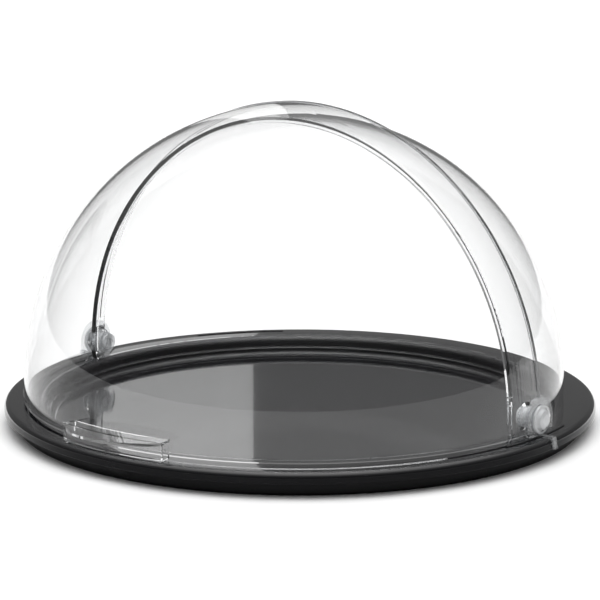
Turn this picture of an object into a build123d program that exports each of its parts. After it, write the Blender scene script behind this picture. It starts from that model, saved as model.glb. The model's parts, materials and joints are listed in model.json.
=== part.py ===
import os
from math import cos, degrees, radians, sin

from build123d import *

# Roll-top display cover on a round tray. Millimetres, +Z up.
# The origin is the middle of the face the tray stands on, X runs along the roll-top's pivots
# and the lifting handle is at -Y.

# Tray
tray_radius = 210.0
rim_top = 17.5
tray_wall = 2.5
skirt_bottom = 10.0
rim_shoulder = 4.0
floor_wall = 2.2
step_height = 9.5
step_width = 3.0
well_lip = 5.0
floor_cove = 4.0
edge_round = 1.2
skirt_overhang = 9.0
base_wall = 2.5
base_floor = 2.0
locating_rib_gap = 5.2
locating_rib_width = 2.0
locating_rib_height = 0.6
locating_rib_from = 9.0
locating_rib_sweep = 20.0

# Clear cover halves, both centred on the pivot line
pivot_rim_clearance = 1.1
rim_outside_cover = 14.2
rim_inside_cover = 7.4
dome_gap = 6.0
dome_wall = 2.4
front_dome_lift = 2.0
rear_half_overlap = 16.0
front_half_overlap = 5.0
corner_round = 7.0
rear_edge_rib_width = 3.0
rear_edge_rib_depth = 1.6
front_edge_rib_width = 3.5
front_edge_rib_depth = 1.0
front_edge_rib_end = 18.0
bottom_bead_width = 2.5
bottom_bead_depth = 0.8
bottom_bead_start = 20.0

# Lifting handle, bonded to the front half
handle_depth = 9.6
handle_wall = 2.0
handle_sweep = 24.0
handle_top = 30.4
handle_lift = 0.8
handle_lip = 14.6
bond_line = 0.1

# Pivots
pin_radius = 4.0
pin_head_radius = 6.5
pin_head = 1.8
running_clearance = 0.08
side_clearance = 0.1
eye_radius = 10.0
pad_relief = 0.35
washer_thickness = 0.8
washer_radius = 7.5
spacer_radius = 7.5
bracket_radius = 16.5
bracket_wall = 2.8
knob_radius = 10.0
knob_flange = 1.8
knob_button_radius = 6.6
knob_height = 5.0
knob_round = 1.6
clip_width = 9.0
clip_offset = -8.5
clip_wall = 1.6
clip_drop = 7.0
skirt_clearance = 0.4

# Height of the pivot line, clear of the rim under the widest round part on it
pivot_height = rim_top + max(eye_radius, knob_radius) + pivot_rim_clearance

# Radii, from the tray's edge inwards
base_radius = tray_radius - skirt_overhang
front_dome_radius = tray_radius - rim_outside_cover
rear_dome_radius = front_dome_radius - dome_wall - dome_gap
well_radius = rear_dome_radius - rim_inside_cover
handle_radius = front_dome_radius + handle_depth
locating_rib_radius = front_dome_radius + locating_rib_gap

# Places along the pivot line, from the middle outwards
rear_bottom = rim_top
front_bottom = rim_top + front_dome_lift
rear_inside = rear_dome_radius - dome_wall
rear_pad_inside = rear_inside - pad_relief
front_pad_inside = front_dome_radius - dome_wall - pad_relief
bracket_inside = front_dome_radius + washer_thickness + 2 * side_clearance
bracket_outside = bracket_inside + bracket_wall
bore_radius = pin_radius + running_clearance
beyond = 2 * tray_radius


def turned(sketch, sweep=360.0):
    """Turn a radius-height sketch about the upright axis."""
    return revolve(Plane.XZ * sketch, Axis.Z, sweep)


def outline(points):
    """Flat face through corner points given in order."""
    return make_face(Polyline(*points, close=True))


def rounded(sketch, corners, radius):
    """Round the corners of a sketch that lie at the given points."""
    picked = [sketch.vertices().sort_by_distance(corner)[0] for corner in corners]
    return fillet(picked, radius)


def disc(radius, start, end):
    """Round bar on the pivot line from start to end along +X."""
    bar = Cylinder(radius, end - start, align=(Align.CENTER, Align.CENTER, Align.MIN))
    return Pos(start, 0, pivot_height) * Rot(0, 90, 0) * bar


def block(x, y, z):
    """Box between low and high limits on each axis."""
    size = Box(x[1] - x[0], y[1] - y[0], z[1] - z[0], align=(Align.MIN,) * 3)
    return Pos(x[0], y[0], z[0]) * size


def across(sketch):
    """Carry a sketch drawn in Y and Z right across the object along X."""
    return extrude(Plane.YZ * sketch, amount=beyond, both=True)


def bell(radius, bottom):
    """Half ball on the pivot line with a straight wall down to the bottom."""
    standing = (Align.CENTER, Align.CENTER, Align.MIN)
    cap = Pos(0, 0, pivot_height) * Sphere(radius, arc_size1=0, align=standing)
    return cap + Pos(0, 0, bottom) * Cylinder(radius, pivot_height - bottom, align=standing)


def shell(radius, wall, bottom):
    """Skin of a bell, measured inwards from its outer radius."""
    return bell(radius, bottom) - bell(radius - wall, bottom - wall)


def both_sides(piece):
    """The piece at +X and its mirror at -X."""
    return piece + mirror(piece, Plane.YZ)


def tray():
    """Tray with a stepped well, flat rim, outer skirt and two locating ribs."""
    under_rim = rim_top - tray_wall
    step_radius = well_radius - step_width
    well_outside = well_radius + tray_wall
    floor_top = base_floor + floor_wall
    section = outline(
        [
            (0, base_floor),
            (step_radius, base_floor),
            (well_outside, step_height - tray_wall),
            (well_outside, under_rim),
            (tray_radius - tray_wall, under_rim),
            (tray_radius - tray_wall, skirt_bottom),
            (tray_radius, skirt_bottom),
            (tray_radius, rim_top),
            (well_radius, rim_top),
            (well_radius, step_height),
            (step_radius, step_height),
            (step_radius, floor_top),
            (0, floor_top),
        ]
    )
    corner_rise = step_height - floor_top
    edges = min(edge_round, corner_rise / 4)
    section = rounded(section, [(well_radius, rim_top)], well_lip)
    section = rounded(section, [(step_radius, floor_top)], min(floor_cove, corner_rise - 1.1 * edges))
    section = rounded(section, [(step_radius, step_height)], edges)
    section = rounded(section, [(tray_radius, rim_top)], rim_shoulder)
    body = turned(section)
    rib = Pos(locating_rib_radius, rim_top) * Rectangle(locating_rib_width, 2 * locating_rib_height)
    return body + both_sides(Rot(0, 0, locating_rib_from) * turned(rib, locating_rib_sweep))


def base_dish():
    """Shallow closed dish that the tray sits in, its edge under the tray's rim."""
    under_rim = rim_top - tray_wall
    section = outline(
        [
            (0, 0),
            (base_radius, 0),
            (base_radius, under_rim),
            (base_radius - base_wall, under_rim),
            (base_radius - base_wall, base_floor),
            (0, base_floor),
        ]
    )
    return turned(rounded(section, [(base_radius, 0)], edge_round))


def rear_dome():
    """Fixed inner half of the cover, with a rib along its front edge and flat pivot pads."""
    height = 2 * rear_dome_radius
    limits = outline(
        [
            (-rear_half_overlap, rear_bottom),
            (beyond, rear_bottom),
            (beyond, rear_bottom + height),
            (-rear_half_overlap, rear_bottom + height),
        ]
    )
    limits = across(rounded(limits, [(-rear_half_overlap, rear_bottom)], corner_round))
    rib = shell(rear_inside, rear_edge_rib_depth, rear_bottom)
    rib_from = -rear_half_overlap
    rib &= block((-beyond, beyond), (rib_from, rib_from + rear_edge_rib_width), (rear_bottom, beyond))
    skin = (shell(rear_dome_radius, dome_wall, rear_bottom) + rib) & limits
    pad = disc(eye_radius, rear_pad_inside, rear_dome_radius)
    bore = disc(pin_radius, rear_inside - dome_wall, rear_dome_radius + dome_wall)
    return skin + both_sides(pad) - both_sides(bore)


def front_dome():
    """Rolling outer half, with a rib on its rear edge, a bottom bead and pivot eyes."""
    height = 2 * front_dome_radius
    limits = outline(
        [
            (-beyond, front_bottom),
            (front_half_overlap, front_bottom),
            (front_half_overlap, front_bottom + height),
            (-beyond, front_bottom + height),
        ]
    )
    eye = Pos(0, pivot_height) * Circle(eye_radius)
    skin = shell(front_dome_radius, dome_wall, front_bottom - dome_wall) & across(limits + eye)
    rib_end = pivot_height + front_edge_rib_end
    rib = shell(front_dome_radius + front_edge_rib_depth, front_edge_rib_depth + dome_wall, front_bottom)
    rib_to = front_half_overlap
    rib &= block((-beyond, beyond), (rib_to - front_edge_rib_width, rib_to), (rib_end, beyond))
    bead = shell(front_dome_radius + bottom_bead_depth, bottom_bead_depth + dome_wall, front_bottom)
    bead_top = front_bottom + bottom_bead_width
    bead &= block((-beyond, beyond), (-beyond, -bottom_bead_start), (front_bottom, bead_top))
    pad = disc(eye_radius, front_pad_inside, front_dome_radius)
    bore = disc(bore_radius, front_pad_inside - dome_wall, front_dome_radius + dome_wall)
    return skin + rib + bead + both_sides(pad) - both_sides(bore)


def front_handle():
    """Downward-open pocket handle: top shelf, outer plate, two end walls and a finger lip."""
    shelf_inside = front_dome_radius + bond_line
    wall_inside = shelf_inside + bottom_bead_depth
    plate_inside = handle_radius - handle_wall
    bottom = rim_top + handle_lift
    section = outline(
        [
            (shelf_inside, handle_top - handle_wall),
            (plate_inside, handle_top - handle_wall),
            (plate_inside, bottom),
            (handle_radius, bottom),
            (handle_radius, handle_top),
            (shelf_inside, handle_top),
        ]
    )
    section = rounded(section, [(handle_radius, handle_top)], edge_round)
    end_section = outline(
        [
            (wall_inside, bottom),
            (plate_inside, bottom),
            (plate_inside, handle_top - handle_wall),
            (wall_inside, handle_top - handle_wall),
        ]
    )
    end_sweep = degrees(handle_wall / handle_radius)
    body = turned(section, handle_sweep)
    wall = turned(end_section, end_sweep)
    body += wall + Rot(0, 0, handle_sweep - end_sweep) * wall
    end_angle = radians(handle_sweep / 2)
    end_x = handle_radius * sin(end_angle)
    end_y = -handle_radius * cos(end_angle)
    lip_edge = ThreePointArc((-end_x, end_y), (0, -handle_radius - handle_lip), (end_x, end_y))
    plate_edge = ThreePointArc((end_x, end_y), (0, -plate_inside), (-end_x, end_y))
    lip = extrude(make_face(lip_edge + plate_edge), amount=handle_wall)
    return Rot(0, 0, -90 - handle_sweep / 2) * body + Pos(0, 0, handle_top - handle_wall) * lip


def pivot_bracket():
    """Upright plate with a round top, a foot tongue over the rim and a clip down the skirt."""
    plate = Pos(0, pivot_height) * Circle(bracket_radius)
    plate += Pos(0, (rim_top + pivot_height) / 2) * Rectangle(2 * bracket_radius, pivot_height - rim_top)
    top = block((0, beyond), (-beyond, beyond), (rim_top, beyond))
    plate = extrude(Plane.YZ * plate, amount=bracket_wall) & top
    plate = Pos(bracket_inside, 0, 0) * plate
    clip_y = (clip_offset - clip_width / 2, clip_offset + clip_width / 2)
    clip_inside = tray_radius + skirt_clearance
    clip_outside = clip_inside + clip_wall
    tongue = block((bracket_outside, clip_outside), clip_y, (rim_top, rim_top + clip_wall))
    leg = block((clip_inside, clip_outside), clip_y, (rim_top - clip_drop, rim_top + clip_wall))
    bore = disc(pin_radius, bracket_inside - bracket_wall, bracket_outside + bracket_wall)
    return plate + tongue + leg - bore


def pivot_pin():
    """Pin with a flat head inside the cover."""
    head_start = rear_pad_inside - pin_head
    shaft_end = bracket_outside + knob_height - knob_flange
    head = disc(pin_head_radius, head_start, rear_pad_inside)
    return head + disc(pin_radius, rear_pad_inside, shaft_end)


def pivot_knob():
    """Round cap on the pin's outer end, with a domed button in its middle."""
    section = outline(
        [
            (0, 0),
            (knob_radius, 0),
            (knob_radius, knob_flange),
            (knob_button_radius, knob_flange),
            (knob_button_radius, knob_height),
            (0, knob_height),
        ]
    )
    section = rounded(section, [(knob_button_radius, knob_height)], knob_round)
    cap = Pos(bracket_outside, 0, pivot_height) * Rot(0, 90, 0) * turned(section)
    return cap - disc(pin_radius, bracket_outside - knob_flange, bracket_outside + knob_height - knob_flange)


def thrust_washer():
    """Thin washer between the front eye and the bracket."""
    start = front_dome_radius + side_clearance
    end = start + washer_thickness
    return disc(washer_radius, start, end) - disc(pin_radius, start - dome_wall, end + dome_wall)


def spacer():
    """Sleeve that keeps the two cover halves apart on the pin."""
    end = front_pad_inside - side_clearance
    return disc(spacer_radius, rear_dome_radius, end) - disc(pin_radius, rear_inside, front_pad_inside)


pieces = {
    "tray": tray(),
    "base_dish": base_dish(),
    "rear_dome": rear_dome(),
    "front_dome": front_dome(),
    "front_handle": front_handle(),
}
paired = {
    "pivot_bracket": pivot_bracket(),
    "pivot_pin": pivot_pin(),
    "pivot_knob": pivot_knob(),
    "thrust_washer": thrust_washer(),
    "dome_spacer": spacer(),
}
for name, piece in paired.items():
    pieces["right_" + name] = piece
    pieces["left_" + name] = mirror(piece, Plane.YZ)

os.makedirs("parts", exist_ok=True)
for name, piece in pieces.items():
    export_step(piece, f"parts/{name}.step")
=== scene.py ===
import json
from math import acos, cos, pi, radians, sin, tan

import bmesh
import bpy
from mathutils import Matrix, Vector


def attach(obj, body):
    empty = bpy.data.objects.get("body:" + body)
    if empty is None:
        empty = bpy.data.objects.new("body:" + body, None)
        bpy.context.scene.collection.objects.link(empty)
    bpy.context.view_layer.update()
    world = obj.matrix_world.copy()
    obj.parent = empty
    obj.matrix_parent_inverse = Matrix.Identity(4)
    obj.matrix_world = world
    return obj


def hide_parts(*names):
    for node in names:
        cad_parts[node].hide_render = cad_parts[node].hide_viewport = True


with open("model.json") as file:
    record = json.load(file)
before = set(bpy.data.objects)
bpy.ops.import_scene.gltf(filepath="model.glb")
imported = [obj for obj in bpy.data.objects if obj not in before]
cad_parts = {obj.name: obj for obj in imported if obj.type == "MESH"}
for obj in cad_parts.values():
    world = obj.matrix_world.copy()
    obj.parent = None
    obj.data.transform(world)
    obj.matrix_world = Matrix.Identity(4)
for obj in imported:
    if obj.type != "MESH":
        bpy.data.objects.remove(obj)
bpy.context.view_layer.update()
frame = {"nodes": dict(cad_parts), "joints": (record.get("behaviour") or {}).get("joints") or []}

print("frame loaded")


# Shader helper: a socket that can be added, subtracted, multiplied and raised in plain expressions
class Sock:
    def __init__(self, tree, out):
        self.tree = tree
        self.out = out

    def maths(self, operation, other, clamp=False):
        node = self.tree.nodes.new("ShaderNodeMath")
        node.operation = operation
        node.use_clamp = clamp
        self.tree.links.new(self.out, node.inputs[0])
        if isinstance(other, Sock):
            self.tree.links.new(other.out, node.inputs[1])
        else:
            node.inputs[1].default_value = other
        return Sock(self.tree, node.outputs[0])

    def __add__(self, other):
        return self.maths("ADD", other)

    def __sub__(self, other):
        return self.maths("SUBTRACT", other)

    def __mul__(self, other):
        return self.maths("MULTIPLY", other)

    def __pow__(self, other):
        return self.maths("POWER", other)

    # 0 up to the low value, then rising to 1
    def above(self, low, steepness):
        return (self - low).maths("MULTIPLY", steepness, clamp=True)


# Node tree of a material or of the studio air
class Shader:
    def __init__(self, owner):
        owner.use_nodes = True
        self.owner = owner
        self.tree = owner.node_tree
        self.tree.nodes.clear()

    def node(self, kind, settings=None, values=None, out=0):
        made = self.tree.nodes.new("ShaderNode" + kind)
        for key, value in (settings or {}).items():
            setattr(made, key, value)
        for key, value in (values or {}).items():
            if isinstance(value, Sock):
                self.tree.links.new(value.out, made.inputs[key])
            else:
                made.inputs[key].default_value = value
        return Sock(self.tree, made.outputs[out])

    def noise(self, scale, detail, rough):
        return self.node("TexNoise", values={
            "Vector": self.node("TexCoord", out="Object"),
            "Scale": scale,
            "Detail": detail,
            "Roughness": rough,
        })

    # Inputs 0, 6 and 7 and output 2 are the mix node's sockets for colours
    def blend(self, amount, first, second):
        settings = {"data_type": "RGBA"}
        return self.node("Mix", settings, {0: amount, 6: first, 7: second}, out=2)

    def mix(self, amount, first, second):
        return self.node("MixShader", values={0: amount, 1: first, 2: second})

    def bump(self, strength, distance, height):
        values = {"Strength": strength, "Distance": distance, "Height": height}
        return self.node("Bump", values=values)

    # How far the surface turns edge-on: 0 where it is seen straight, 1 at its outline
    def facing(self):
        return self.node("LayerWeight", values={"Blend": 0.5}, out="Facing")

    def finish(self, kind, surface):
        end = self.tree.nodes.new("ShaderNodeOutput" + kind)
        self.tree.links.new(surface.out, end.inputs["Surface"])
        return self.owner


# Clear sheet of the cover halves: refracting, with painted shade that greys it where it turns
# edge-on, with faint waviness and the odd wipe mark; painted shade also makes the ribs greyer and
# their sides darker
sheetLook = {
    "clear": (0.997, 0.998, 0.998, 1.0),
    "cloudy": (0.985, 0.987, 0.988, 1.0),
    # edge: painted shade, the grey the sheet turns towards its outline
    "edge": (0.84, 0.845, 0.85, 1.0),
    "edgePower": 3.0,
    "ior": 1.28,
    "specular": 0.15,
    "smudgeScale": 9.0,
    "smudgeFrom": 0.55,
    "smudgeSteepness": 4.0,
    "smudgeRough": 0.04,
    "waveScale": 3.0,
    "waveStrength": 0.2,
    "waveHeight": 0.0003,
    "shade": (0.95, 0.955, 0.96, 1.0),
}
# Painted shade: the ribs are the same clear sheet tinted grey, their sides tinted near black
ribShadeLook = dict(
    sheetLook,
    clear=(0.93, 0.935, 0.94, 1.0),
    cloudy=(0.9, 0.905, 0.91, 1.0),
)
ribSideShadeLook = dict(
    sheetLook,
    clear=(0.3, 0.305, 0.31, 1.0),
    cloudy=(0.25, 0.255, 0.26, 1.0),
    edge=(0.2, 0.205, 0.21, 1.0),
)


def clearSheet(name, look):
    shader = Shader(bpy.data.materials.new(name))
    smudge = shader.noise(look["smudgeScale"], 4.0, 0.6)
    wave = shader.noise(look["waveScale"], 1.0, 0.3)
    body = shader.blend(smudge, look["clear"], look["cloudy"])
    wiped = smudge.above(look["smudgeFrom"], look["smudgeSteepness"])
    sheet = shader.node("BsdfPrincipled", values={
        # painted shade: the colour greys towards the outline
        "Base Color": shader.blend(shader.facing() ** look["edgePower"], body, look["edge"]),
        "Roughness": wiped * look["smudgeRough"],
        "IOR": look["ior"],
        "Specular IOR Level": look["specular"],
        "Transmission Weight": 1.0,
        "Normal": shader.bump(look["waveStrength"], look["waveHeight"], wave),
    })
    shadow = shader.node("BsdfTransparent", values={"Color": look["shade"]})
    isShadow = shader.node("LightPath", out="Is Shadow Ray")
    return shader.finish("Material", shader.mix(isShadow, sheet, shadow))


# Small clear mouldings: light passes straight on, each face mirrors weakly, painted shade makes the
# edges greyer and the thick ones, the caps and cores, are milkier
mouldLook = {
    "clear": (0.955, 0.96, 0.965, 1.0),
    "cloudy": (0.93, 0.935, 0.94, 1.0),
    # edge: painted shade, the grey that passes towards the outline
    "edge": (0.6, 0.605, 0.61, 1.0),
    "edgePower": 3.0,
    "pale": (0.7, 0.71, 0.72, 1.0),
    "milk": 0.06,
    "milkRough": 0.3,
    "mirror": (0.97, 0.98, 0.98, 1.0),
    "mirrorShare": 0.06,
    "mirrorGain": 0.9,
    "mirrorPower": 5.0,
    "gloss": 0.04,
    "cloudScale": 60.0,
    "smudgeFrom": 0.55,
    "smudgeSteepness": 4.0,
    "smudgeRough": 0.1,
}
capLook = dict(mouldLook, milk=0.38, mirrorShare=0.1)
coreLook = dict(mouldLook, milk=0.3)


def clearMoulding(name, look):
    shader = Shader(bpy.data.materials.new(name))
    cloud = shader.noise(look["cloudScale"], 4.0, 0.6)
    facing = shader.facing()
    clear, cloudy, edge = (
        shader.node("BsdfTransparent", values={"Color": look[key]})
        for key in ("clear", "cloudy", "edge")
    )
    body = shader.mix(cloud, clear, cloudy)
    # painted shade: what passes through greys towards the outline
    through = shader.mix(facing ** look["edgePower"], body, edge)
    wiped = cloud.above(look["smudgeFrom"], look["smudgeSteepness"])
    skin = shader.node("BsdfPrincipled", values={
        "Base Color": look["mirror"],
        "Metallic": 1.0,
        "Roughness": wiped * look["smudgeRough"] + look["gloss"],
    })
    milk = shader.node("BsdfPrincipled", values={
        "Base Color": shader.blend(cloud, look["pale"], look["clear"]),
        "Roughness": cloud * look["milkRough"] + look["gloss"],
    })
    mirrored = facing ** look["mirrorPower"] * look["mirrorGain"] + look["mirrorShare"]
    surface = shader.mix(mirrored, shader.mix(look["milk"], through, milk), skin)
    return shader.finish("Material", surface)


# Tray: black moulding, polished on top and duller on the upright skirts, with fine dust
blackLook = {
    "deep": (0.002, 0.002, 0.0025, 1.0),
    "faded": (0.005, 0.005, 0.006, 1.0),
    "gloss": 0.05,
    "cloudScale": 14.0,
    "cloudRough": 0.06,
    "dustScale": 900.0,
    "dustFrom": 0.62,
    "dustSteepness": 6.0,
    "dustRough": 0.2,
    "ior": 1.49,
    "specular": 0.1,
    "polish": 0.85,
    "polishRough": 0.03,
    "polishFrom": 0.1,
    "polishSteepness": 4.0,
    "waveScale": 22.0,
    "waveStrength": 0.1,
    "waveHeight": 0.0003,
}


def blackPlastic(name, look):
    shader = Shader(bpy.data.materials.new(name))
    cloud = shader.noise(look["cloudScale"], 5.0, 0.6)
    dust = shader.noise(look["dustScale"], 2.0, 0.5)
    dust = dust.above(look["dustFrom"], look["dustSteepness"])
    wave = shader.noise(look["waveScale"], 2.0, 0.4)
    normal = shader.node("NewGeometry", out="Normal")
    upward = shader.node("SeparateXYZ", values={"Vector": normal}, out="Z")
    upward = upward.above(look["polishFrom"], look["polishSteepness"])
    return shader.finish("Material", shader.node("BsdfPrincipled", values={
        "Base Color": shader.blend(cloud, look["deep"], look["faded"]),
        "Roughness": cloud * look["cloudRough"] + dust * look["dustRough"] + look["gloss"],
        "IOR": look["ior"],
        "Specular IOR Level": look["specular"],
        "Coat Weight": upward * look["polish"],
        "Coat Roughness": look["polishRough"],
        "Normal": shader.bump(look["waveStrength"], look["waveHeight"], wave),
    }))


# Floor: matt pale paint with a faint grain
paintLook = {
    "dim": (0.88, 0.88, 0.88, 1),
    "bright": (0.91, 0.91, 0.91, 1),
    "grainScale": 30.0,
    "rough": 0.8,
}


def palePaint(name, look):
    shader = Shader(bpy.data.materials.new(name))
    grain = shader.noise(look["grainScale"], 3.0, 0.5)
    return shader.finish("Material", shader.node("BsdfPrincipled", values={
        "Base Color": shader.blend(grain, look["dim"], look["bright"]),
        "Roughness": look["rough"],
        "Specular IOR Level": 0.0,
    }))


domeMaterial = clearSheet("clearCoverSheet", sheetLook)
# The rib and rib side materials carry painted shade
ribShadeMaterial = clearSheet("clearRibs", ribShadeLook)
ribSideShadeMaterial = clearSheet("clearRibSides", ribSideShadeLook)
fittingMaterial = clearMoulding("clearMouldings", mouldLook)
capMaterial = clearMoulding("milkyCaps", capLook)
coreMaterial = clearMoulding("milkyCores", coreLook)
trayMaterial = blackPlastic("polishedBlackTray", blackLook)
print("materials made")


# Small helpers for hand modelling
tiny = 0.000001  # closer than this, two points count as one


def only(piece):
    if bpy.context.object and bpy.context.object.mode != "OBJECT":
        bpy.ops.object.mode_set(mode="OBJECT")
    bpy.ops.object.select_all(action="DESELECT")
    if piece:
        bpy.context.view_layer.objects.active = piece
        piece.select_set(True)


def edit(piece):
    only(piece)
    bpy.ops.object.mode_set(mode="EDIT")
    bpy.ops.mesh.select_mode(type="VERT")
    bpy.ops.mesh.select_all(action="SELECT")


def leave():
    bpy.ops.object.mode_set(mode="OBJECT")


# In edit mode, select only the vertices, edges or faces that pass the test: an edge by both
# its ends and a face by its middle
def pick(piece, part, test):
    bpy.ops.mesh.select_mode(type=part)
    bpy.ops.mesh.select_all(action="DESELECT")
    shape = bmesh.from_edit_mesh(piece.data)
    if part == "VERT":
        for vert in shape.verts:
            vert.select = test(vert.co)
    elif part == "EDGE":
        for edge in shape.edges:
            edge.select = all(test(vert.co) for vert in edge.verts)
    else:
        for face in shape.faces:
            face.select = test(face.calc_center_median())
    shape.select_flush(True)
    bmesh.update_edit_mesh(piece.data)


# In edit mode, cut along a plane and keep both sides, or only the one ahead or at the back
def cut(place, normal, keep="BOTH"):
    bpy.ops.mesh.select_all(action="SELECT")
    bpy.ops.mesh.bisect(
        plane_co=place,
        plane_no=normal,
        clear_outer=keep == "BACK",
        clear_inner=keep == "AHEAD",
    )


# In edit mode, raise the faces that pass the test along their normals
def raiseFaces(piece, height, test):
    pick(piece, "FACE", test)
    bpy.ops.mesh.extrude_region_shrink_fatten(TRANSFORM_OT_shrink_fatten={"value": height})


def modify(piece, kind, **settings):
    only(piece)
    modifier = piece.modifiers.new(kind.lower(), kind)
    for key, value in settings.items():
        setattr(modifier, key, value)
    bpy.ops.object.modifier_apply(modifier=modifier.name)


def combine(piece, tool, operation):
    modify(piece, "BOOLEAN", object=tool, operation=operation, solver="EXACT")
    bpy.data.objects.remove(tool, do_unlink=True)


def soften(piece, width):
    angle = radians(50)
    modify(piece, "BEVEL", width=width, segments=2, limit_method="ANGLE", angle_limit=angle)


# Round bar along X on the pivot line
def bar(radius, start, end):
    only(None)
    bpy.ops.mesh.primitive_cylinder_add(
        vertices=96,
        radius=radius,
        depth=end - start,
        location=((start + end) / 2, 0, pivotHeight),
        rotation=(0, pi / 2, 0),
    )
    bpy.ops.object.transform_apply(location=True, rotation=True, scale=True)
    return bpy.context.object


# Square block between its lowest and highest corner
def brick(low, high):
    only(None)
    bpy.ops.mesh.primitive_cube_add(size=1.0)
    made = bpy.context.object
    edit(made)
    bpy.ops.transform.resize(value=[b - a for a, b in zip(low, high)])
    bpy.ops.transform.translate(value=[(a + b) / 2 for a, b in zip(low, high)])
    leave()
    return made


# Give a further material to the faces whose middle and normal pass the test
def paint(piece, material, test):
    piece.data.materials.append(material)
    edit(piece)
    bpy.ops.mesh.select_mode(type="FACE")
    bpy.ops.mesh.select_all(action="DESELECT")
    shape = bmesh.from_edit_mesh(piece.data)
    for face in shape.faces:
        face.select = test(face.calc_center_median(), face.normal)
    bmesh.update_edit_mesh(piece.data)
    piece.active_material_index = len(piece.data.materials) - 1
    bpy.ops.object.material_slot_assign()
    leave()


# Weld and shade a piece, hide the CAD node it stands in for, put it on its body and give it a
# material if it has none
def finish(piece, body, node, material, sharpness=35):
    edit(piece)
    bpy.ops.mesh.remove_doubles(threshold=tiny)
    bpy.ops.mesh.normals_make_consistent(inside=False)
    leave()
    only(piece)
    bpy.ops.object.shade_smooth_by_angle(angle=radians(sharpness))
    if not piece.data.materials:
        piece.data.materials.append(material)
    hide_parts(node)
    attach(piece, body)


# Cover halves: a half ball and its straight foot, trimmed to each half and given its wall,
# ribs and pivot eyes; edge is where the half ends along Y
pivotHeight = next(joint["pos_m"][2] for joint in frame["joints"] if joint["name"] == "roll_top")
ballMesh = {"segments": 288, "rings": 144}
rearShape = {
    "radius": 0.1874,
    "wall": 0.0024,
    "bottom": 0.0175,
    "edge": -0.016,
    "corner": 0.007,
    "cornerSteps": 10,
    "ribWidth": 0.003,
    "ribDepth": 0.0016,
    "ribPaintDepth": 0.0005,
}
frontShape = {
    "radius": 0.1958,
    "wall": 0.0024,
    "bottom": 0.0195,
    "edge": 0.005,
    "ribWidth": 0.0035,
    "ribDepth": 0.001,
    "ribEnd": 0.018,
    "ribPaintDepth": 0.0003,
    "beadWidth": 0.0025,
    "beadDepth": 0.0008,
    "beadStart": -0.02,
}
eyeShape = {"radius": 0.01, "relief": 0.00035, "bore": 0.004, "boreReach": 0.002}


# One side of the half ball: side is 1 to keep what lies behind the edge, -1 for what lies before
def bellSheet(name, shape, side):
    only(None)
    bpy.ops.mesh.primitive_uv_sphere_add(
        segments=ballMesh["segments"],
        ring_count=ballMesh["rings"],
        radius=shape["radius"],
        location=(0, 0, pivotHeight),
        rotation=(0, pi / 2, 0),
    )
    bpy.ops.object.transform_apply(location=True, rotation=True, scale=True)
    sheet = bpy.context.object
    sheet.name = name
    edit(sheet)
    cut((0, 0, pivotHeight), (0, 0, 1), "AHEAD")
    pick(sheet, "EDGE", lambda spot: abs(spot.z - pivotHeight) < tiny)
    bpy.ops.mesh.extrude_region_move(
        TRANSFORM_OT_translate={"value": (0, 0, shape["bottom"] - pivotHeight)}
    )
    cut((0, shape["edge"], 0), (0, 1, 0), "AHEAD" if side > 0 else "BACK")
    return sheet


def thicken(sheet, shape):
    modify(sheet, "SOLIDIFY", thickness=shape["wall"], offset=-1.0, use_even_offset=True)


# Flat round pads about the pivots, merged with the sheet and bored for the pins
def eyes(sheet, shape):
    reach = shape["radius"]
    start = reach - shape["wall"] - eyeShape["relief"]
    over = eyeShape["boreReach"]
    for side in (-1, 1):
        ends = sorted((side * start, side * reach))
        combine(sheet, bar(eyeShape["radius"], *ends), "UNION")
        ends = sorted((side * (start - over), side * (reach + over)))
        combine(sheet, bar(eyeShape["bore"], *ends), "DIFFERENCE")
    sheet.data.materials.clear()
    sheet.data.materials.append(domeMaterial)


# How far a point lies inside the shape's outer face
def depth(spot, shape):
    return shape["radius"] - Vector((spot.x, spot.y, max(0, spot.z - pivotHeight))).length


# Whether a point is on the sheet's inner face, or on its outer face
def isInner(spot, shape):
    return depth(spot, shape) > 0.9 * shape["wall"]


def isOuter(spot, shape):
    return depth(spot, shape) < 0.3 * shape["wall"]


slack = 0.0001  # added to a limit, so that faces on it still count
rearRib = rearShape["edge"] + rearShape["ribWidth"]  # where the rear rib ends along Y
rear = bellSheet("rearCover", rearShape, 1)
pick(rear, "VERT", lambda spot: (
    spot.y < rearShape["edge"] + slack / 10
    and spot.z < rearShape["bottom"] + slack / 10
))
bpy.ops.mesh.bevel(
    offset=rearShape["corner"],
    segments=rearShape["cornerSteps"],
    affect="VERTICES",
)
cut((0, rearRib, 0), (0, 1, 0))
leave()
thicken(rear, rearShape)
edit(rear)
raiseFaces(rear, rearShape["ribDepth"], lambda spot: (
    spot.y < rearRib and isInner(spot, rearShape)
))
leave()
eyes(rear, rearShape)
# Painted shade: the rear rib gets the grey tinted sheet
paint(rear, ribShadeMaterial, lambda spot, normal: (
    spot.y < rearRib + slack
    and depth(spot, rearShape) > rearShape["ribPaintDepth"]
))
finish(rear, "rear_half", "rear_dome", domeMaterial)
print("rear cover made")

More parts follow.
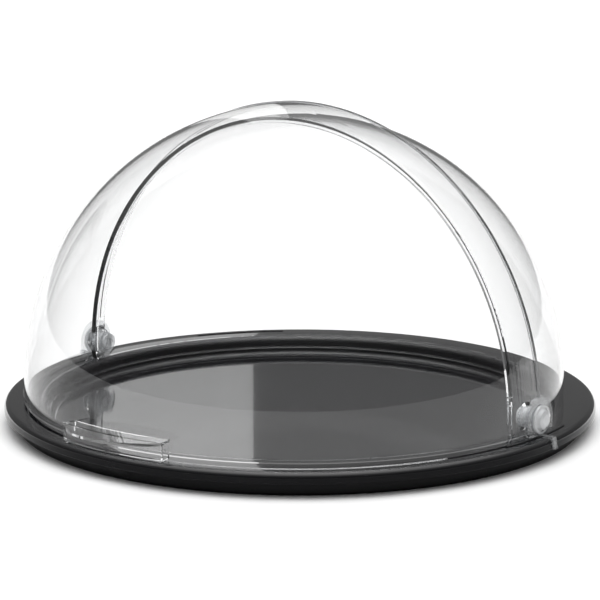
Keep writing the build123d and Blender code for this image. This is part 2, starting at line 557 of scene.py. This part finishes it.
frontRib = frontShape["edge"] - frontShape["ribWidth"]  # where the front rib ends along Y
ribFoot = pivotHeight + frontShape["ribEnd"]
beadTop = frontShape["bottom"] + frontShape["beadWidth"]
front = bellSheet("frontCover", frontShape, -1)
cut((0, frontRib, 0), (0, 1, 0))
cut((0, frontShape["beadStart"], 0), (0, 1, 0))
cut((0, 0, beadTop), (0, 0, 1))
cut((0, 0, ribFoot), (0, 0, 1))
leave()
thicken(front, frontShape)
edit(front)
raiseFaces(front, frontShape["ribDepth"], lambda spot: (
    isOuter(spot, frontShape) and spot.y > frontRib and spot.z > ribFoot
))
raiseFaces(front, frontShape["beadDepth"], lambda spot: (
    isOuter(spot, frontShape)
    and spot.y < frontShape["beadStart"]
    and frontShape["bottom"] < spot.z < beadTop
))
leave()
eyes(front, frontShape)
# Painted shade: the raised rib's sides get the dark tinted sheet
paint(front, ribSideShadeMaterial, lambda spot, normal: (  # the raised rib's sides
    spot.y > frontRib - slack
    and abs(normal.y) > 0.9
    and depth(spot, frontShape) < 0
    and spot.z > ribFoot
))
# Painted shade: the sheet's cut edge gets the grey tinted sheet
paint(front, ribShadeMaterial, lambda spot, normal: (  # the sheet's cut edge
    spot.y > frontShape["edge"] - slack
    and depth(spot, frontShape) > frontShape["ribPaintDepth"]
    and spot.z > pivotHeight + eyeShape["radius"]
))
finish(front, "front_half", "front_dome", domeMaterial)
print("front cover made")


# Turned pieces: corner points (radius, height, rounding) become a path with arcs, drawn by
# extruding a point and then spun about the upright axis
arcSteps = 8


def roundedPath(corners):
    path = []
    count = len(corners)
    for index, (across, height, rounding) in enumerate(corners):
        here = Vector((across, height))
        if rounding == 0:
            path.append(here)
            continue
        before = (Vector(corners[index - 1][:2]) - here).normalized()
        after = (Vector(corners[(index + 1) % count][:2]) - here).normalized()
        half = acos(max(-1, min(1, before.dot(after)))) / 2
        middle = here + (before + after).normalized() * rounding / sin(half)
        first = here + before * rounding / tan(half) - middle
        last = here + after * rounding / tan(half) - middle
        sweep = first.angle_signed(last)
        for step in range(arcSteps + 1):
            turned = Matrix.Rotation(-sweep * step / arcSteps, 2) @ first
            path.append(middle + turned)
    return path


def spun(path, steps, closed=False, start=0.0, sweep=360.0):
    only(None)
    bpy.ops.mesh.primitive_plane_add(size=0.001, location=(0, 0, 0))
    piece = bpy.context.object
    edit(piece)
    bpy.ops.mesh.merge(type="CENTER")
    bpy.ops.transform.translate(value=(path[0].x, 0, path[0].y))
    last = path[0]
    for spot in path[1:] + path[:1] * closed:
        bpy.ops.mesh.extrude_region_move(
            TRANSFORM_OT_translate={"value": (spot.x - last.x, 0, spot.y - last.y)}
        )
        last = spot
    bpy.ops.mesh.select_all(action="SELECT")
    bpy.ops.mesh.spin(steps=steps, angle=radians(sweep), center=(0, 0, 0), axis=(0, 0, 1))
    bpy.ops.mesh.select_all(action="SELECT")
    bpy.ops.mesh.remove_doubles(threshold=2 * tiny)
    bpy.ops.mesh.fill_holes(sides=0)
    leave()
    piece.data.transform(Matrix.Rotation(radians(start), 4, "Z"))
    return piece


trayShape = {
    "radius": 0.21,
    "rim": 0.0175,
    "wall": 0.0025,
    "skirt": 0.01,
    "shoulder": 0.004,
    "well": 0.18,
    "lip": 0.005,
    "step": 0.0095,
    "stepWidth": 0.003,
    "stepRound": 0.0012,
    "floor": 0.0042,
    "floorCove": 0.0035,
    "underFloor": 0.002,
    "edgeRound": 0.0004,
    "steps": 360,
}
markShape = {  # locating ribs on the rim, near the pivots
    "radius": 0.201,
    "width": 0.002,
    "height": 0.0009,
    "round": 0.0006,
    "sweep": 20.0,
    "starts": (9.0, 151.0),
    "steps": 40,
}


def trayPath(shape):
    outside, well, wall = (shape[key] for key in ("radius", "well", "wall"))
    rim, step, floor = (shape[key] for key in ("rim", "step", "floor"))
    foot = well - shape["stepWidth"]
    return roundedPath([
        (0, shape["underFloor"], 0),
        (foot, shape["underFloor"], 0),
        (well + wall, step - wall, 0),
        (well + wall, rim - wall, 0),
        (outside - wall, rim - wall, 0),
        (outside - wall, shape["skirt"], 0),
        (outside, shape["skirt"], shape["edgeRound"]),
        (outside, rim, shape["shoulder"]),
        (well, rim, shape["lip"]),
        (well, step, shape["edgeRound"]),
        (foot, step, shape["stepRound"]),
        (foot, floor, shape["floorCove"]),
        (0, floor, 0),
    ])


def markPath(shape, rim):
    inner = shape["radius"] - shape["width"] / 2
    outer = shape["radius"] + shape["width"] / 2
    return roundedPath([
        (inner, rim - shape["height"], 0),
        (outer, rim - shape["height"], 0),
        (outer, rim + shape["height"], shape["round"]),
        (inner, rim + shape["height"], shape["round"]),
    ])


tray = spun(trayPath(trayShape), trayShape["steps"])
tray.name = "roundTray"
marks = [
    spun(markPath(markShape, trayShape["rim"]), markShape["steps"], True, start, markShape["sweep"])
    for start in markShape["starts"]
]
only(tray)
for mark in marks:
    mark.select_set(True)
bpy.ops.object.join()
finish(tray, "tray", "tray", trayMaterial, 28)
print("tray made")


# The piece's mirror image across X = 0, with a mesh of its own
def twin(piece, name):
    copy = bpy.data.objects.new(name, piece.data.copy())
    bpy.context.scene.collection.objects.link(copy)
    copy.data.transform(Matrix.Scale(-1, 4, (1, 0, 0)))
    return copy


# Pivot brackets: arched clear plates on the rim, with a clip over it and down the skirt
bracketShape = {
    "inside": 0.1968,
    "wall": 0.0028,
    "radius": 0.0155,
    "foot": 0.0175,
    "bevel": 0.0005,
    "clipFrom": -0.0045,
    "clipTo": 0.0,
    "clipWall": 0.0014,
    "clipReach": 0.2118,
    "clipDrop": 0.0075,
    "clipLean": 0.003,
    "clipBevel": 0.0003,
}


def bracket(name, shape):
    inside, radius, foot = (shape[key] for key in ("inside", "radius", "foot"))
    outside = inside + shape["wall"]
    plate = bar(radius, inside, outside)
    plate.name = name
    arch = brick((inside, -radius, foot), (outside, radius, pivotHeight))
    combine(plate, arch, "UNION")
    edit(plate)
    cut((0, 0, foot), (0, 0, 1), "AHEAD")
    bpy.ops.mesh.fill_holes(sides=0)
    leave()
    soften(plate, shape["bevel"])
    near, far, reach = (shape[key] for key in ("clipFrom", "clipTo", "clipReach"))
    top = foot + shape["clipWall"]
    clip = brick((outside, near, foot), (reach, far, top))
    leg = brick((reach - shape["clipWall"], near, foot - shape["clipDrop"]), (reach, far, top))
    edit(leg)
    pick(leg, "VERT", lambda spot: spot.z < foot)
    bpy.ops.transform.translate(value=(0, shape["clipLean"], 0))
    leave()
    combine(clip, leg, "UNION")
    soften(clip, shape["clipBevel"])
    only(plate)
    clip.select_set(True)
    bpy.ops.object.join()
    return plate


rightPlate = bracket("rightBracket", bracketShape)
leftPlate = twin(rightPlate, "leftBracket")
finish(rightPlate, "rear_half", "right_pivot_bracket", fittingMaterial)
finish(leftPlate, "rear_half", "left_pivot_bracket", fittingMaterial)

# Pivot knobs: a round flange with a domed button; shoulder and crown are shares of the button
knobShape = {
    "start": 0.1996,
    "radius": 0.01,
    "flange": 0.0018,
    "flangeRound": 0.0007,
    "dome": 0.0074,
    "height": 0.0050,
    "step": 0.0008,
    "edgeRound": 0.0003,
    "shoulderWidth": 0.88,
    "shoulderHeight": 0.78,
    "shoulderRound": 0.001,
    "crownWidth": 0.5,
    "crownRound": 0.0035,
    "steps": 96,
}


def knob(name, shape):
    radius, flange, dome = (shape[key] for key in ("radius", "flange", "dome"))
    height, step, edgeRound = (shape[key] for key in ("height", "step", "edgeRound"))
    cap = spun(roundedPath([
        (0, 0, 0),
        (radius, 0, edgeRound),
        (radius, flange, shape["flangeRound"]),
        (dome + step, flange, edgeRound),
        (dome, flange + step, edgeRound),
        (dome * shape["shoulderWidth"], height * shape["shoulderHeight"], shape["shoulderRound"]),
        (dome * shape["crownWidth"], height, shape["crownRound"]),
        (0, height, 0),
    ]), shape["steps"])
    cap.name = name
    place = Matrix.Translation((shape["start"], 0, pivotHeight))
    cap.data.transform(place @ Matrix.Rotation(pi / 2, 4, "Y"))
    return cap


rightCap = knob("rightKnob", knobShape)
leftCap = twin(rightCap, "leftKnob")
finish(rightCap, "rear_half", "right_pivot_knob", capMaterial, 60)
finish(leftCap, "rear_half", "left_pivot_knob", capMaterial, 60)
print("pivot fittings made")


# CAD pieces that keep their own shape get a better material
def dress(names, material):
    for name in names:
        piece = frame["nodes"][name]
        piece.data.materials.clear()
        piece.data.materials.append(material)


fittings = ("pivot_pin", "thrust_washer", "dome_spacer")
dress(["base_dish"], trayMaterial)
dress(["front_handle"], domeMaterial)
dress([side + "_" + fitting for side in ("left", "right") for fitting in fittings], coreMaterial)
print("other pieces dressed")

# Camera at the photograph's angle, worked out from the tray's outline
cameraView = {
    "turn": 37.08,
    "rise": 11.74,
    "distance": 1.587,
    "aim": 0.0843,
    "pixelsLong": 2236.0,
    "photoWidth": 600,
    "sensor": 36.0,
    "farEnd": 50.0,
}
turn = radians(cameraView["turn"])
rise = radians(cameraView["rise"])
away = Vector((sin(turn) * cos(rise), -cos(turn) * cos(rise), sin(rise)))
cameraData = bpy.data.cameras.new("photoCamera")
camera = bpy.data.objects.new("photoCamera", cameraData)
bpy.context.scene.collection.objects.link(camera)
camera.location = Vector((0, 0, cameraView["aim"])) + away * cameraView["distance"]
camera.rotation_euler = away.to_track_quat("Z", "Y").to_euler()
cameraData.sensor_width = cameraView["sensor"]
cameraData.lens = cameraView["pixelsLong"] / cameraView["photoWidth"] * cameraView["sensor"]
cameraData.clip_end = cameraView["farEnd"]
bpy.context.scene.camera = camera

# Plain pale floor, square to the camera and longer behind the object
floorSize = {"width": 16.0, "ahead": 8.0, "behind": 16.0}
only(None)
bpy.ops.mesh.primitive_plane_add(size=1.0)
floor = bpy.context.object
floor.name = "paleFloor"
edit(floor)
bpy.ops.transform.resize(value=(floorSize["width"], floorSize["ahead"] + floorSize["behind"], 1))
bpy.ops.transform.translate(value=(0, (floorSize["behind"] - floorSize["ahead"]) / 2, 0))
bpy.ops.transform.rotate(value=-turn, orient_axis="Z", center_override=(0, 0, 0))
leave()
floor.data.materials.append(palePaint("palePaint", paintLook))

# Soft studio light: a narrow upright box behind, whose mirror image lies in the tray's floor,
# and bright air that is dim near the horizon; airHeights go from the horizon, 0, to overhead, 1
studio = {
    "backPower": 0.42,
    "backWidth": 0.22,
    "backTall": 0.9,
    "backDistance": 1.5,
    "backOffset": 0.17,
    "backHeight": 0.75,
    "air": (0.18, 0.2, 0.5, 2.1, 3.35),
    "airHeights": (0.0, 0.35, 0.6, 0.88, 1.0),
}
behind = Vector((-away.x, -away.y, 0)).normalized()
aside = Vector((-behind.y, behind.x, 0)) * studio["backOffset"]
backData = bpy.data.lights.new("backBox", "AREA")
backData.energy = studio["backPower"]
backData.shape = "RECTANGLE"
backData.size = studio["backWidth"]
backData.size_y = studio["backTall"]
backBox = bpy.data.objects.new("backBox", backData)
bpy.context.scene.collection.objects.link(backBox)
backBox.location = behind * studio["backDistance"] + aside + Vector((0, 0, studio["backHeight"]))
backBox.rotation_euler = behind.to_track_quat("Z", "Y").to_euler()

air = Shader(bpy.data.worlds.new("studioAir"))
direction = air.node("TexCoord", out="Generated")
upward = air.node("SeparateXYZ", values={"Vector": direction}, out="Z")
ramp = air.node("ValToRGB", values={0: upward}, out="Color")
levels = ramp.out.node.color_ramp
levels.interpolation = "EASE"
for index, (height, level) in enumerate(zip(studio["airHeights"], studio["air"])):
    stop = levels.elements[index] if index < 2 else levels.elements.new(height)
    stop.position = height
    stop.color = (level, level, level, 1.0)
sky = air.node("Background", values={"Color": ramp})
bpy.context.scene.world = air.finish("World", sky)
bpy.context.scene.view_settings.view_transform = "Standard"
print("stage, light and camera set")
